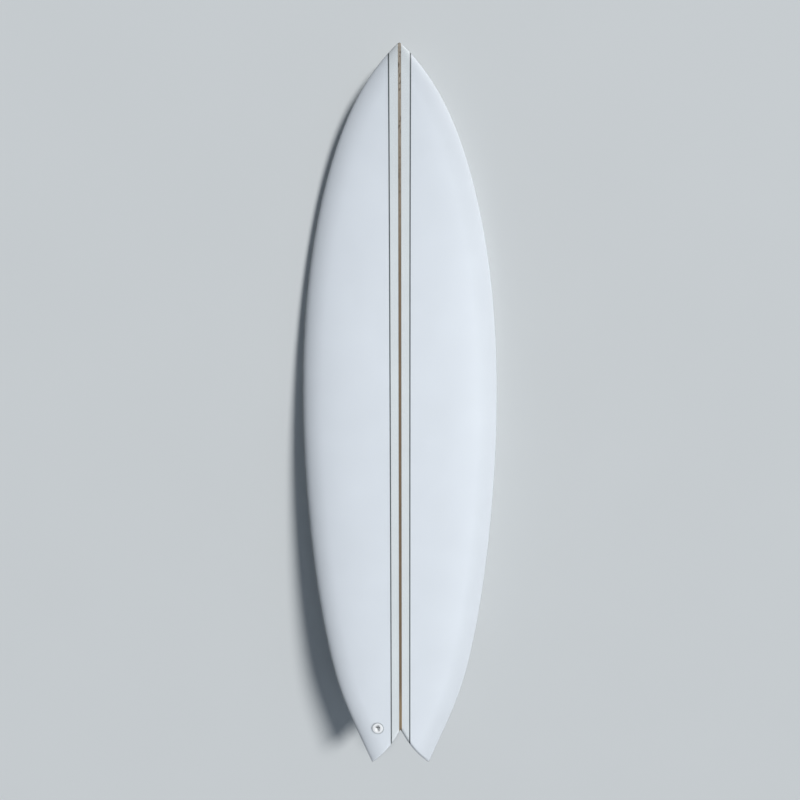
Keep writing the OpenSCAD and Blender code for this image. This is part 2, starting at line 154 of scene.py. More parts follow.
class BoardShape(bpy.types.PropertyGroup):
    """Outline, rocker and thickness of the board, and how it lies on the floor."""

    length: metres("Length", "From the tail tips to the nose", 1.829)
    width: metres("Width", "At the wide point", 0.505)
    wide_point: metres("Wide point", "Up from the tail tips", 0.945)
    nose_width: metres("Nose width", "A foot back from the nose", 0.366)
    tail_width: metres("Tail width", "A foot up from the tail tips", 0.382)
    tip_spread: metres("Tip spread", "Between the two tail tips", 0.156)
    notch_depth: metres("Notch depth", "Of the swallow tail", 0.094)
    notch_round: metres("Notch round", "Rolled deck edge round the notch", 0.012)
    nose_rocker: metres("Nose rocker", "Lift of the bottom at the nose", 0.115)
    tail_rocker: metres("Tail rocker", "Lift of the bottom at the tail", 0.052)
    rocker_low: metres("Flattest point", "Up from the tail tips", 0.86)
    thickness: metres("Thickness", "Greatest thickness", 0.0635)
    thick_point: metres("Thickest point", "Up from the tail tips", 0.95)
    nose_thickness: metres("Nose thickness", "Thickness at the nose", 0.014)
    tail_thickness: metres("Tail thickness", "Thickness at the tail", 0.016)
    concave: metres("Concave", "Hollow of the bottom", 0.0025)
    rail_apex: FloatProperty(
        name="Rail apex", description="Height as a share of the thickness", default=0.42, subtype="FACTOR")
    nose_round: metres("Nose round", "Radius of the nose from the side", 0.012)
    pitch: degrees("Pitch", "Lean of the board on its fins and belly", 5.40587)
    shift: metres("Shift", "From the shaping frame to the floor", (0, -0.918893, 0.10763))


class BlankSizes(bpy.types.PropertyGroup):
    """Widths of the strips that the blank is glued up from, and of the skin round it."""

    stringer: metres("Stringer", "Width of the wood", 0.0074)
    band: metres("Strip", "Width of each foam strip", 0.0198)
    glue: metres("Glue line", "Width of each dark line", 0.0032)
    skin: metres("Skin", "Depth of the blank under the surface", 0.001)
    cloth: metres("Cloth", "Drawn thickness of the skin", 0.0005)
    # The lap's reach is also how far in from the rail the skin's painted shade on the rails reaches
    lap_and_shade_reach: metres("Lap", "Reach of the lapped cloth in from the rail", 0.055)


class PlugSizes(bpy.types.PropertyGroup):
    """Leash plug, its bar and the resin it is bedded in."""

    flange: metres("Flange", "Diameter of the flange", 0.0286)
    flange_depth: metres("Flange depth", "Thickness of the flange", 0.0018)
    body: metres("Body", "Diameter under the flange", 0.0246)
    depth: metres("Depth", "Depth of the whole plug", 0.015)
    lip: metres("Lip", "Round of the flange's edge and of the mouth", 0.0006)
    cup_width: metres("Cup width", "Width of the mouth", 0.0126)
    cup_length: metres("Cup length", "Length of the mouth", 0.0186)
    cup_floor: metres("Cup floor", "Thickness of the floor", 0.0018)
    cup_round: metres("Cup round", "Round of the floor's edge", 0.001)
    bar: metres("Bar", "Diameter of the cross bar", 0.0032)
    bar_depth: metres("Bar depth", "Middle of the bar below the deck", 0.0046)
    bar_hold: metres("Bar hold", "Length of a bar end in the wall", 0.003)
    bar_chamfer: metres("Bar chamfer", "Of the bar's ends", 0.0003)
    resin: metres("Resin ring", "Width round the flange", 0.0022)
    resin_fit: metres("Resin fit", "Play between plug and resin", 0.0001)
    sag: metres("Sag", "Hollow of the resin's sanded top", 0.00025)


class FinSizes(bpy.types.PropertyGroup):
    """Fins, and the boxes that hold them."""

    base: metres("Base", "Length along the bottom", 0.124)
    depth: metres("Depth", "From the base to the tip", 0.128)
    sweep: metres("Sweep", "Of the tip behind the base", 0.082)
    back: metres("Back", "Shift of the base behind the tab", 0.004)
    thickness: metres("Thickness", "At the base", 0.0076)
    tip: metres("Tip thickness", "Towards the tip", 0.0024)
    edge: metres("Edge", "Thickness of the edges", 0.0008)
    ply: metres("Ply", "Drawn thickness of a cloth layer", 0.00055)
    tab: metres("Tab", "Thickness, length and depth", (0.0066, 0.1143, 0.0127))
    tab_round: metres("Tab round", "Of the tab's edges", 0.0008)
    base_play: metres("Base play", "Free space under the base", 0.0008)
    cant: degrees("Cant", "Outward lean", 5)
    toe: degrees("Toe", "Turn towards the stringer", 3)
    place: metres("Place", "Middle of the tab on the bottom", (0.113, 0.236, 0.0249159))
    pitch: degrees("Pitch", "Slope of the bottom there, along the board", -5.21309)
    roll: degrees("Roll", "Slope of the bottom there, across the board", 0.0841949)
    recess: metres("Recess", "Box face below the bottom", 0.00025)
    flange: metres("Flange", "Width, length and depth of the box flange", (0.025, 0.1529, 0.0026))
    body: metres("Body", "Width, length and depth of the box body", (0.0144, 0.1409, 0.0152))
    box_middle: metres("Box middle", "Ahead of the tab's middle", 0.004)
    bed: metres("Bed", "Resin round the box", 0.0012)


class Finishes(bpy.types.PropertyGroup):
    """Colours of the board."""

    foam: tint("Foam", "Outer halves of the blank", "#e6ebf0")
    band: tint("Strip foam", "Strips beside the wood", "#e2e7e8")
    wood: tint("Wood", "Brown wood of the stringer", "#755c3a")
    grain: tint("Grain", "Late wood of the stringer", "#57462b")
    sapwood: tint("Sapwood", "Paler wood at the nose", "#b0a492")
    golden: tint("Golden wood", "Wood at the tail", "#9c8259")
    glue: tint("Glue", "Dyed glue lines", "#31393f")
    thin_glue: tint("Thin glue", "Greyer places of the glue lines", "#4b5357")
    cloth: tint("Cloth", "Milkiness of the skin", "#eef2f4")
    resin: tint("Resin", "Beds of plug and boxes", "#b4babc")
    plastic: tint("Plastic", "Plug and boxes", "#fafbfb")
    steel: tint("Steel", "Bar and screws", "#b9bbbd")
    fin: tint("Fin", "Tinted glass laminate", "#2a3035")
    fin_layer: tint("Fin layers", "Contour lines of the laminate", "#6b757c")


class StageSettings(bpy.types.PropertyGroup):
    """Floor, lamps and camera."""

    floor: tint("Floor", "Pale floor", "#d5d8d8")
    reach: metres("Reach", "Floor on each side of the middle", 60)
    sky: FloatProperty(
        name="Sky", description="Strength of the room's light where it is brightest", default=0.34)
    sky_tint: tint("Sky tint", "Colour of the room's light", "#d9e9fc")
    open_side: FloatVectorProperty(
        name="Open side", description="Where the room's light is brightest", default=(0.45, 0, 0.89),
        subtype="DIRECTION")
    key: FloatProperty(
        name="Key", description="Strength of the soft lamp from the right", default=3.15)
    softness: degrees("Softness", "Angle that the soft lamp fills", 16)
    towards: FloatVectorProperty(
        name="Towards", description="Direction of the soft lamp", default=(0.57, 0.45, 0.69),
        subtype="DIRECTION")
    lens: FloatProperty(
        name="Lens", description="Focal length", default=27.05, subtype="DISTANCE_CAMERA")
    distance: metres("Distance", "Camera to the deck", 1.5874)
    aim: metres("Aim", "Point looked at, up from the tail", 0.9961)
    tilt: degrees("Tilt", "Camera's lean towards the nose", 7.13)
    roll: degrees("Roll", "Camera's turn about its own axis", -0.09)


class SurfboardSettings(bpy.types.PropertyGroup):
    """All sizes and colours of the surfboard."""

    shape: PointerProperty(type=BoardShape, name="Shape", description="Board shape")
    blank: PointerProperty(type=BlankSizes, name="Blank", description="Blank and skin")
    plug: PointerProperty(type=PlugSizes, name="Plug", description="Leash plug")
    fin: PointerProperty(type=FinSizes, name="Fins", description="Fins and boxes")
    finish: PointerProperty(type=Finishes, name="Finishes", description="Colours")
    stage: PointerProperty(type=StageSettings, name="Stage", description="Stage")


# Nodes

def add(tree, kind, values=(), **settings):
    """Adds a node, sets its properties and fills its inputs, by order from a list or by name from a dict.

    The kind leaves out its prefix. A value is a constant, a socket, or a node, which gives its first output.
    A tuple such as ("+", a, b) is a sum and becomes Math nodes, also in place of the kind.
    """
    if isinstance(kind, tuple):
        kind, values, settings = "Math", kind[1:], {"operation": SIGNS.get(kind[0], kind[0])}
    node = tree.nodes.new(next(p + kind for p in PREFIXES if hasattr(bpy.types, p + kind)))
    for key, value in settings.items():
        setattr(node, key, value)
    sockets = [s for s in node.inputs if s.enabled]
    if isinstance(values, dict):
        pairs = [(next(s for s in sockets if s.name == key), value) for key, value in values.items()]
    else:
        pairs = zip(sockets, values)
    for socket, value in pairs:
        if isinstance(value, tuple):
            value = add(tree, value)
        if isinstance(value, bpy.types.Node):
            value = next(s for s in value.outputs if s.enabled)
        if isinstance(value, bpy.types.NodeSocket):
            tree.links.new(value, socket)
        elif socket.type == "RGBA":
            socket.default_value = (*value, 1)
        else:
            socket.default_value = value
    return node


def remainder(share, power):
    """The sum for what a power of a share leaves of one."""
    return ("MAXIMUM", ("-", 1, ("^", share, power)), 0)


def way(value, start, end):
    """The sum for the share of the way from start to end, past start."""
    return ("MAXIMUM", ("/", ("-", value, start), ("-", end, start)), 0)


def eased(share):
    """The sum for a share of a way that starts and ends slowly."""
    return ("*", ("-", 1, ("COSINE", ("*", share, math.pi))), 0.5)


def settle(piece):
    """Keeps what a piece's modifiers make as its plain mesh."""
    old = piece.data
    graph = bpy.context.evaluated_depsgraph_get()
    piece.data = bpy.data.meshes.new_from_object(piece.evaluated_get(graph))
    piece.data.name = piece.name
    piece.modifiers.clear()
    bpy.data.meshes.remove(old)


def object_of(name, mesh):
    """A new object in the scene."""
    piece = bpy.data.objects.new(name, mesh)
    bpy.context.scene.collection.objects.link(piece)
    return piece


def by_name(group):
    """The sizes in a group of settings, by the names that the node trees also use."""
    return {p.name: getattr(group, p.identifier) for p in group.bl_rna.properties if p.type == "FLOAT"}


def grow(tree, name, values):
    """Runs a node tree with these inputs and keeps the result as a plain closed mesh."""
    piece = object_of(name, bpy.data.meshes.new(name))
    modifier = piece.modifiers.new(tree.name, "NODES")
    modifier.node_group = tree
    for item in tree.interface.items_tree:
        if item.in_out == "INPUT":
            modifier[item.identifier] = values[item.name]
    settle(piece)
    # A grid brings an empty slot of its own, which faces added later would show
    piece.data.materials.clear()
    piece.data.materials.append(values["Material"])
    build = bmesh.new()
    build.from_mesh(piece.data)
    bmesh.ops.remove_doubles(build, verts=[v for v in build.verts if v.is_boundary], dist=SLIT)
    build.to_mesh(piece.data)
    build.free()
    return piece


def new_tree(name, inputs):
    """A node tree with named inputs, and its group input."""
    tree = bpy.data.node_groups.new(name, "GeometryNodeTree")
    tree.interface.new_socket("Geometry", in_out="OUTPUT", socket_type="NodeSocketGeometry")
    for kind, names in inputs.items():
        for label in names:
            tree.interface.new_socket(label, in_out="INPUT", socket_type=kind)
    return tree, add(tree, "GroupInput").outputs


def ring_grid(tree, size):
    """A grid whose columns run out along one face of a piece and back along the other.

    Gives the grid, each point's row from 0 to 1, its face, 0 or 1, and its way out along that face.
    """
    grid = add(tree, "MeshGrid", [1, 1, size["Columns"], size["Rows"]])
    spot = add(tree, "SeparateXYZ", [add(tree, "InputPosition")])
    column = add(tree, ("+", spot.outputs["X"], 0.5))
    row = add(tree, ("+", spot.outputs["Y"], 0.5))
    end = 0.5 - CROSSING
    face = add(tree, ("-", add(tree, "MapRange", [column, end, 0.5, 0, 1]),
                      add(tree, "MapRange", [column, 0.5 + end, 1, 0, 1])))
    path = add(tree, ("-", add(tree, "MapRange", [column, 0, end, 0, 1]),
                      add(tree, "MapRange", [column, 0.5, 0.5 + end, 0, 1])))
    return grid, row, face, path


def placed(tree, grid, spot, mark, value):
    """A grid whose points are moved to a spot and marked with a named value."""
    marked = add(tree, "StoreNamedAttribute", {"Geometry": grid, "Name": mark, "Value": value})
    return add(tree, "SetPosition", {"Geometry": marked, "Position": add(tree, "CombineXYZ", spot)})


def end_tree(tree, shape, material):
    """Ends a tree with the shape closed, smooth, real and in its material."""
    closed = add(tree, "MergeByDistance", {"Geometry": shape, "Distance": JOIN})
    smooth = add(tree, "SetShadeSmooth", [closed])
    real = add(tree, "RealizeInstances", [smooth])
    dressed = add(tree, "SetMaterial", {"Geometry": real, "Material": material})
    add(tree, "GroupOutput", [dressed])
    return tree


def board_tree():
    """One ring of points round a piece of the board, repeated from its tail end to its nose end.

    The ring runs out along the upper face, across the edge, and back along the lower face. The faces
    are the deck or the bottom, drawn in by an inset, between an inner and an outer line.
    """
    tree, size = new_tree("Board section", {
        "NodeSocketFloat": [
            "Length", "Half width", "Wide point", "Nose fill", "Tail fill", "Tip", "Tail bend", "Tail twist",
            "Notch depth", "Notch round", "Nose rocker", "Tail rocker", "Flattest point", "Thickness",
            "Thickest point", "Nose thickness", "Tail thickness", "Concave", "Rail apex", "Nose round",
            "Inner line", "Outer line", "Upper inset", "Lower inset", "Upper side", "Lower side",
            "Upper tail", "Lower tail", "Upper nose", "Lower nose", "Wall"],
        "NodeSocketBool": ["Right", "Left"],
        "NodeSocketInt": ["Columns", "Rows"],
        "NodeSocketMaterial": ["Material"]})
    grid, row, lower, path = ring_grid(tree, size)
    inset, side, tail, nose = [
        add(tree, "Mix", [lower, size["Upper " + name], size["Lower " + name]])
        for name in ("inset", "side", "tail", "nose")]

    # Height along the board
    bay = add(tree, ("*+", inset, NOTCH_SHIFT, size["Notch depth"]))
    beside = add(tree, "MapRange", [row, 0, NOTCH_ROWS, tail, bay])
    run = add(tree, "MapRange", [row, NOTCH_ROWS, 1, 0, 1])
    wave = ("*", ("SINE", ("*", run, math.tau)), CROWDING / math.tau)
    y = add(tree, ("*+", ("-", nose, bay), ("-", run, wave), beside))

    # Half width of the outline and of the notch
    ahead = ("-", ("-", size["Length"], size["Wide point"]), inset)
    fore = add(tree, ("MAXIMUM", ("/", ("-", y, size["Wide point"]), ahead), 0))
    draw = ("*+", ("^", fore, DRAW_POWER), NOSE_DRAW, size["Nose fill"])
    fore_half = ("*", ("-", size["Half width"], inset), ("^", remainder(fore, NOSE_POWER), draw))
    aft_fill = remainder(way(y, size["Wide point"], 0), TAIL_POWER)
    aft_half = ("*", size["Half width"], ("^", aft_fill, size["Tail fill"]))
    up = add(tree, "MapRange", [y, 0, HIP, 0, 1])
    curve = ("*+", up, ("*+", up, size["Tail twist"], size["Tail bend"]), HIP * TIP_FLARE)
    tip_half = ("*+", up, curve, size["Tip"])
    behind = add(tree, "Mix", [("GREATER_THAN", y, HIP), tip_half, aft_half])
    full = add(tree, "Mix", [("GREATER_THAN", y, size["Wide point"]), ("-", behind, inset), fore_half])
    cleft = add(tree, ("MAXIMUM", ("/", ("-", bay, y), size["Notch depth"]), 0))
    flare = ("*", ("^", cleft, NOTCH_POWER), 1 - NOTCH_STRAIGHT)
    notch = add(tree, ("*", size["Tip"], ("*+", cleft, NOTCH_STRAIGHT, flare)))

    # Across the face, closer together at both ends
    far = add(tree, ("MINIMUM", size["Outer line"], full))
    near = add(tree, ("MINIMUM", ("MAXIMUM", size["Inner line"], notch), far))
    across = add(tree, "MapRange", [path, ("*", size["Wall"], WALL_SHARE), 1, 0, 1])
    x = add(tree, ("*+", ("-", far, near), eased(across), near))
    share = add(tree, ("MINIMUM", ("/", x, full), 1))

    # Rocker and thickness
    lift = ("^", way(y, size["Flattest point"], size["Length"]), NOSE_ROCKER_POWER)
    drop = ("^", way(y, size["Flattest point"], 0), TAIL_ROCKER_POWER)
    rocker = ("*+", size["Nose rocker"], lift, ("*", size["Tail rocker"], drop))
    thin = ("^", way(y, size["Thickest point"], size["Length"]), NOSE_FOIL_POWER)
    slim = ("^", way(y, size["Thickest point"], 0), TAIL_FOIL_POWER)
    nose_loss = ("*", ("-", size["Thickness"], size["Nose thickness"]), thin)
    tail_loss = ("*", ("-", size["Thickness"], size["Tail thickness"]), slim)
    foil = add(tree, ("-", ("-", size["Thickness"], nose_loss), tail_loss))
    apex = ("*+", size["Rail apex"], foil, rocker)
    tip = ("/", ("+", ("-", y, size["Length"]), size["Nose round"]), ("-", size["Nose round"], inset))
    shrink = ("SQRT", remainder(("MAXIMUM", tip, 0), 2))

    # Height of the deck above the rail apex, and of the hollowed bottom below it
    above = ("-", ("*", ("-", 1, size["Rail apex"]), foil), inset)
    rise = ("*", above, ("SQRT", remainder(share, DECK_POWER)))
    below = ("-", ("*", size["Rail apex"], foil), inset)
    hull = ("*", below, ("SQRT", remainder(share, BOTTOM_POWER)))
    middle = ("-", ("/", ("*", y, 2), size["Length"]), 1)
    hollow = ("*", size["Concave"], ("-", 1, ("^", middle, 2)))
    dish = remainder(("/", share, HOLLOW_REACH), 2)
    fall = ("-", ("*", hollow, ("^", dish, 2)), hull)
    reach = add(tree, "Mix", [side, rise, fall])

    # The deck rolls over into the notch, and a skin goes on down its wall
    gap = ("SQRT", ("+", ("^", ("-", x, notch), 2), ("^", ("MAXIMUM", ("-", y, bay), 0), 2)))
    flat = ("-", 1, ("MINIMUM", ("/", gap, size["Notch round"]), 1))
    bend = ("-", 1, ("SQRT", remainder(flat, 2)))
    edge = ("-", 1, ("*", ("*", bend, NOTCH_DROP), ("-", 1, side)))
    climb = ("MAXIMUM", add(tree, "MapRange", [path, 0, WALL_SHARE, 0, 1]), ("-", 1, size["Wall"]))
    z = ("*+", ("*", shrink, edge), ("*", climb, reach), apex)
    half = placed(tree, grid, [x, y, z], "rail", ("-", full, x))

    # A piece on the middle line is open there, and meets its mirrored half
    spot = add(tree, "SeparateXYZ", [add(tree, "InputPosition")])
    opened = add(tree, "DeleteGeometry", [half, ("LESS_THAN", spot.outputs["X"], NIL)], domain="FACE")
    turned = add(tree, "Transform", {"Geometry": opened, "Scale": [-1, 1, 1]})
    mirrored = add(tree, "FlipFaces", [turned])
    both = add(tree, "JoinGeometry")
    for hand, shape in (("Right", opened), ("Left", mirrored)):
        shown = add(tree, "Switch", {"Switch": size[hand], "True": shape}, input_type="GEOMETRY")
        tree.links.new(shown.outputs[0], both.inputs[0])
    return end_tree(tree, both, size["Material"])


def fin_tree():
    """A fin blade: rings from the capped base to the tip, flat inside and foiled outside."""
    tree, size = new_tree("Fin blade", {
        "NodeSocketFloat": [
            "Base", "Depth", "Sweep", "Back", "Thickness", "Tip thickness", "Edge", "Base play"],
        "NodeSocketInt": ["Columns", "Rows"],
        "NodeSocketMaterial": ["Material"]})
    grid, row, inside, path = ring_grid(tree, size)
    outside = ("-", 1, inside)

    # The first row lies flat in the base and closes it
    first = add(tree, ("/", 1, ("-", size["Rows"], 1)))
    body = add(tree, "MapRange", [row, 0, first, 0, 1])
    height = add(tree, "MapRange", [row, first, 1, 0, 1])
    span = add(tree, ("SINE", ("*", height, math.pi / 2)))
    back = add(tree, eased(path))
    chord = ("*", size["Base"], ("^", remainder(span, CHORD_POWER), CHORD_FILL))
    thick = add(tree, "Mix", [span, size["Thickness"], size["Tip thickness"]])
    hump = ("*", ("*", ("SQRT", back), ("-", 1, back)), FOIL_PEAK)
    taper = ("^", remainder(span, TAPER_POWER), 0.5)
    swell = add(tree, ("*", ("*", ("-", thick, size["Edge"]), hump), taper))
    out = ("*", ("+", swell, size["Edge"]), outside)
    x = ("*", ("-", out, ("*", size["Edge"], 0.5)), body)
    y = ("-", ("-", ("*", chord, ("-", 0.5, back)), size["Back"]),
         ("*", size["Sweep"], ("^", span, SWEEP_POWER)))
    z = ("-", ("*", ("*", span, size["Depth"]), -1), size["Base play"])
    blade = placed(tree, grid, [x, y, z], "ply", ("*", swell, outside))
    return end_tree(tree, blade, size["Material"])


# Shapes

def last_held(holds, low, high, halvings=40):
    """The last place between low and high up to which a condition holds."""
    for _ in range(halvings):
        middle = (low + high) / 2
        low, high = (middle, high) if holds(middle) else (low, middle)
    return low


class Outline:
    """The board's outline, and the points of it that the pieces end at."""

    def __init__(self, shape):
        self.shape = shape
        self.half = shape.width / 2
        self.tip = shape.tip_spread / 2
        self.run = shape.length - shape.wide_point
        ahead = (self.run - STATION) / self.run
        behind = (shape.wide_point - STATION) / shape.wide_point
        self.nose_fill = (math.log(shape.nose_width / shape.width) / math.log(1 - ahead ** NOSE_POWER)
                          - NOSE_DRAW * ahead ** DRAW_POWER)
        self.tail_fill = math.log(shape.tail_width / shape.width) / math.log(1 - behind ** TAIL_POWER)
        hip = self.rear(HIP)
        slope = (self.rear(HIP + SLOPE_STEP) - self.rear(HIP - SLOPE_STEP)) / (2 * SLOPE_STEP)
        self.bend = 3 * (hip - self.tip) - HIP * (2 * TIP_FLARE + slope)
        self.twist = 2 * (self.tip - hip) + HIP * (TIP_FLARE + slope)

    def values(self):
        """The outline's own inputs of the board tree."""
        return {"Half width": self.half, "Tip": self.tip, "Nose fill": self.nose_fill,
                "Tail fill": self.tail_fill, "Tail bend": self.bend, "Tail twist": self.twist}

    def rear(self, y):
        """Half width behind the wide point."""
        return self.half * (1 - (1 - y / self.shape.wide_point) ** TAIL_POWER) ** self.tail_fill

    def tail(self, y):
        """Half width between the hip and the tail tips."""
        up = y / HIP
        return self.tip + HIP * TIP_FLARE * up + self.bend * up ** 2 + self.twist * up ** 3

    def nose(self, y, inset):
        """Half width ahead of the wide point."""
        fore = (y - self.shape.wide_point) / (self.run - inset)
        fill = self.nose_fill + NOSE_DRAW * fore ** DRAW_POWER
        return (self.half - inset) * (1 - fore ** NOSE_POWER) ** fill

    def notch(self, y, inset):
        """Half width of the notch."""
        cleft = (self.shape.notch_depth + NOTCH_SHIFT * inset - y) / self.shape.notch_depth
        return self.tip * (NOTCH_STRAIGHT * cleft + (1 - NOTCH_STRAIGHT) * cleft ** NOTCH_POWER)

    def nose_end(self, x, inset):
        """Where a line at x runs out of the nose."""
        return last_held(lambda y: self.nose(y, inset) > x, self.shape.wide_point, self.shape.length - inset)

    def notch_end(self, x, inset):
        """Where a line at x runs out of the notch."""
        return last_held(lambda y: self.notch(y, inset) > x, 0, self.shape.notch_depth + NOTCH_SHIFT * inset)

    def tail_tip(self, inset):
        """Where the notch meets the outline."""
        return last_held(lambda y: self.notch(y, inset) > self.tail(y) - inset, 0, self.shape.notch_depth / 2)


def on_floor(shape):
    """From the shaping frame to where the board lies."""
    return Matrix.Translation(shape.shift) @ Matrix.Rotation(-shape.pitch, 4, "X")


def plug_place(plug):
    """The plug's frame: its face at the origin, its bar along X, out of the deck along Z."""
    up = Vector(LEASH_BAR["axis"]).normalized()
    ahead = Vector((0, up.z, -up.y)).normalized()
    turn = Matrix((ahead.cross(up), ahead, up)).transposed().to_4x4()
    return Matrix.Translation(Vector(LEASH_BAR["pos_m"]) + up * plug.bar_depth) @ turn


def box_place(settings, side):
    """A fin box's frame: its face at the origin, into the board along Z."""
    fin = settings.fin
    lean = Matrix.Rotation(fin.pitch, 4, "X") @ Matrix.Rotation(fin.roll, 4, "Y")
    return (SIDES[side] @ on_floor(settings.shape) @ Matrix.Translation(fin.place) @ lean
            @ Matrix.Rotation(fin.toe, 4, "Z") @ Matrix.Translation((0, 0, fin.recess)))


def disc(width, height):
    """A round ring's length, width and height."""
    return width, width, height


def oval(length, width, height, steps=96):
    """A ring of points: a circle, or a pill where the length is more than the width."""
    ring = []
    for i in range(steps):
        angle = math.tau * (i + 0.5) / steps
        y = width / 2 * math.sin(angle) + math.copysign((length - width) / 2, math.sin(angle))
        ring.append(Vector((width / 2 * math.cos(angle), y, height)))
    return ring


def loft(name, rings, place, material=None):
    """A closed solid through rings, each given by its length, width and height, put in its place."""
    build = bmesh.new()
    rows = [[build.verts.new(p) for p in oval(*ring)] for ring in rings]
    for low, high in zip(rows, rows[1:]):
        for i in range(len(low)):
            build.faces.new((low[i - 1], low[i], high[i], high[i - 1]))
    bmesh.ops.remove_doubles(build, verts=build.verts, dist=NIL)
    bmesh.ops.dissolve_degenerate(build, edges=build.edges, dist=NIL)
    bmesh.ops.transform(build, matrix=place, verts=build.verts)
    bmesh.ops.recalc_face_normals(build, faces=build.faces)
    mesh = bpy.data.meshes.new(name)
    build.to_mesh(mesh)
    build.free()
    if material:
        mesh.materials.append(material)
    return object_of(name, mesh)


def combine(piece, operation, *others):
    """Takes other shapes out of a piece, or makes them one with it."""
    for other in others:
        step = piece.modifiers.new("Combine", "BOOLEAN")
        step.operation = operation
        step.solver = "EXACT"
        step.object = other
    settle(piece)
    for other in others:
        bpy.data.objects.remove(other)


def plug_bed(plug):
    """Cutter for the hole that the plug's resin fills."""
    width = plug.flange + 2 * plug.resin
    floor = -plug.depth - plug.resin
    rings = [disc(0, floor), disc(width, floor), disc(width, OVER), disc(0, OVER)]
    return loft("plug_bed", rings, plug_place(plug))


def box_bed(settings, side):
    """Cutter for the hole that a fin box and its resin fill."""
    fin = settings.fin
    wide = (fin.flange[1] + 2 * fin.bed, fin.flange[0] + 2 * fin.bed)
    slim = (fin.body[1] + 2 * fin.bed, fin.body[0] + 2 * fin.bed)
    step = fin.flange[2] + fin.bed
    end = fin.body[2] + fin.bed
    rings = [disc(0, -OVER), (*wide, -OVER), (*wide, step), (*slim, step), (*slim, end), disc(0, end)]
    return loft("box_bed", rings, box_place(settings, side) @ Matrix.Translation((0, fin.box_middle, 0)))


def stand_for(piece, node, body="board", slack=0.003, crease=math.radians(38)):
    """Lets a piece stand for a CAD node, once it is seen to lie where the node lies."""
    piece.data.shade_smooth()
    piece.data.set_sharp_from_angle(angle=crease)
    low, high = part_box(node)
    corners = [Vector(c) for c in piece.bound_box]
    for k in range(3):
        off = max(abs(min(c[k] for c in corners) - low[k]), abs(max(c[k] for c in corners) - high[k]))
        if off > slack:
            raise RuntimeError(f"{piece.name} is {off * 1000:.1f} mm off {node} along axis {k}")
    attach(piece, body)
    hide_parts(node)


def board_piece(settings, node, material, hands, grid, lines, faces, wall, cutters):
    """Makes a piece of the board and lets it stand for its node.

    It lies between an inner and an outer line. The faces are the insets, sides, tail ends and nose ends of
    the upper and the lower face, where side 0 is the deck and 1 the bottom.
    """
    shape = settings.shape
    values = by_name(shape) | Outline(shape).values() | {
        "Inner line": lines[0], "Outer line": lines[1], "Wall": wall, "Right": "right" in hands,
        "Left": "left" in hands, "Columns": grid[0], "Rows": grid[1], "Material": material}
    for name, (upper, lower) in faces.items():
        values |= {"Upper " + name: upper, "Lower " + name: lower}
    tree = bpy.data.node_groups.get("Board section") or board_tree()
    piece = grow(tree, "visual_" + node, values)
    piece.data.transform(on_floor(shape))
    if cutters:
        combine(piece, "DIFFERENCE", *cutters)
    stand_for(piece, node)


# Finishes

def finish(name, recipe, *values):
    """A material, whose shader a recipe makes from the place of each point on the piece that wears it."""
    made = bpy.data.materials.new(name)
    made.use_nodes = True
    tree = made.node_tree
    tree.nodes.clear()
    place = add(tree, "TexCoord").outputs["Object"]
    add(tree, "OutputMaterial", [recipe(tree, place, *values)])
    return made


def shaded(colour, share):
    """A darker or paler shade of a colour."""
    return [min(c * share, 1) for c in colour]


def foam_finish(tree, place, colour):
    # Polyurethane foam, planed and sanded: chalky white, faintly clouded, with a fine grain of cells
    clouds = add(tree, "TexNoise", {"Vector": place, "Scale": 1 / 0.09, "Detail": 4})
    # Real cells are about 0.3 mm, drawn at 3 mm so that they show
    cells = add(tree, "TexNoise", {"Vector": place, "Scale": 1 / 0.003, "Detail": 2})
    tone = ("*+", cells, 0.35, ("*", clouds, 0.65))
    shade = add(tree, "Mix", [tone, shaded(colour, 0.93), shaded(colour, 1.05)], data_type="RGBA")
    bump = add(tree, "Bump", {"Strength": 0.15, "Distance": 0.0002, "Height": cells})
    return add(tree, "BsdfPrincipled", {"Base Color": shade, "Roughness": 0.9, "IOR": 1.3, "Normal": bump})


def wood_finish(tree, place, colours):
    # Softwood, planed on edge and wet out by resin: brown with long fine grain, golden at the tail, and
    # paler and flecked at the nose. Grain lines are 1.2 mm wide and run about 150 mm
    long = add(tree, "Mapping", {"Vector": place, "Scale": [1 / 0.0012, 1 / 0.15, 1 / 0.006]})
    lines = add(tree, "TexNoise", {"Vector": long, "Scale": 1, "Detail": 3, "Roughness": 0.6})
    # Flecks 4 mm wide and 7 mm long
    short = add(tree, "Mapping", {"Vector": place, "Scale": [1 / 0.004, 1 / 0.007, 1 / 0.006]})
    flecks = add(tree, "TexNoise", {"Vector": short, "Scale": 1, "Detail": 1})
    along = add(tree, "SeparateXYZ", [place]).outputs["Y"]
    ahead = add(tree, "MapRange", [along, 0.4, 0.85, 0, 1])
    astern = add(tree, "MapRange", [along, -0.69, -0.75, 0, 1])
    heart = add(tree, "Mix", [astern, colours.wood, colours.golden], data_type="RGBA")
    ground = add(tree, "Mix", [ahead, heart, colours.sapwood], data_type="RGBA")
    dark = ("*", ("-", 0.62, lines), 2.4)
    spots = ("*", ("*", ("-", flecks, 0.52), 9), ("SQRT", ahead))
    shade = add(tree, "Mix", [("MAXIMUM", dark, spots), ground, colours.grain], data_type="RGBA")
    bump = add(tree, "Bump", {"Strength": 0.2, "Distance": 0.0002, "Height": lines})
    return add(tree, "BsdfPrincipled", {"Base Color": shade, "Roughness": 0.6, "Normal": bump})


def glue_finish(tree, place, colours):
    # Dyed polyester glue, squeezed to a thin line: near black, a little greyer in patches some 25 mm long
    patches = add(tree, "TexNoise", {"Vector": place, "Scale": 1 / 0.025, "Detail": 3})
    grey = ("*", ("-", patches, 0.35), 2)
    shade = add(tree, "Mix", [grey, colours.glue, colours.thin_glue], data_type="RGBA")
    return add(tree, "BsdfPrincipled", {"Base Color": shade, "Roughness": 0.5})


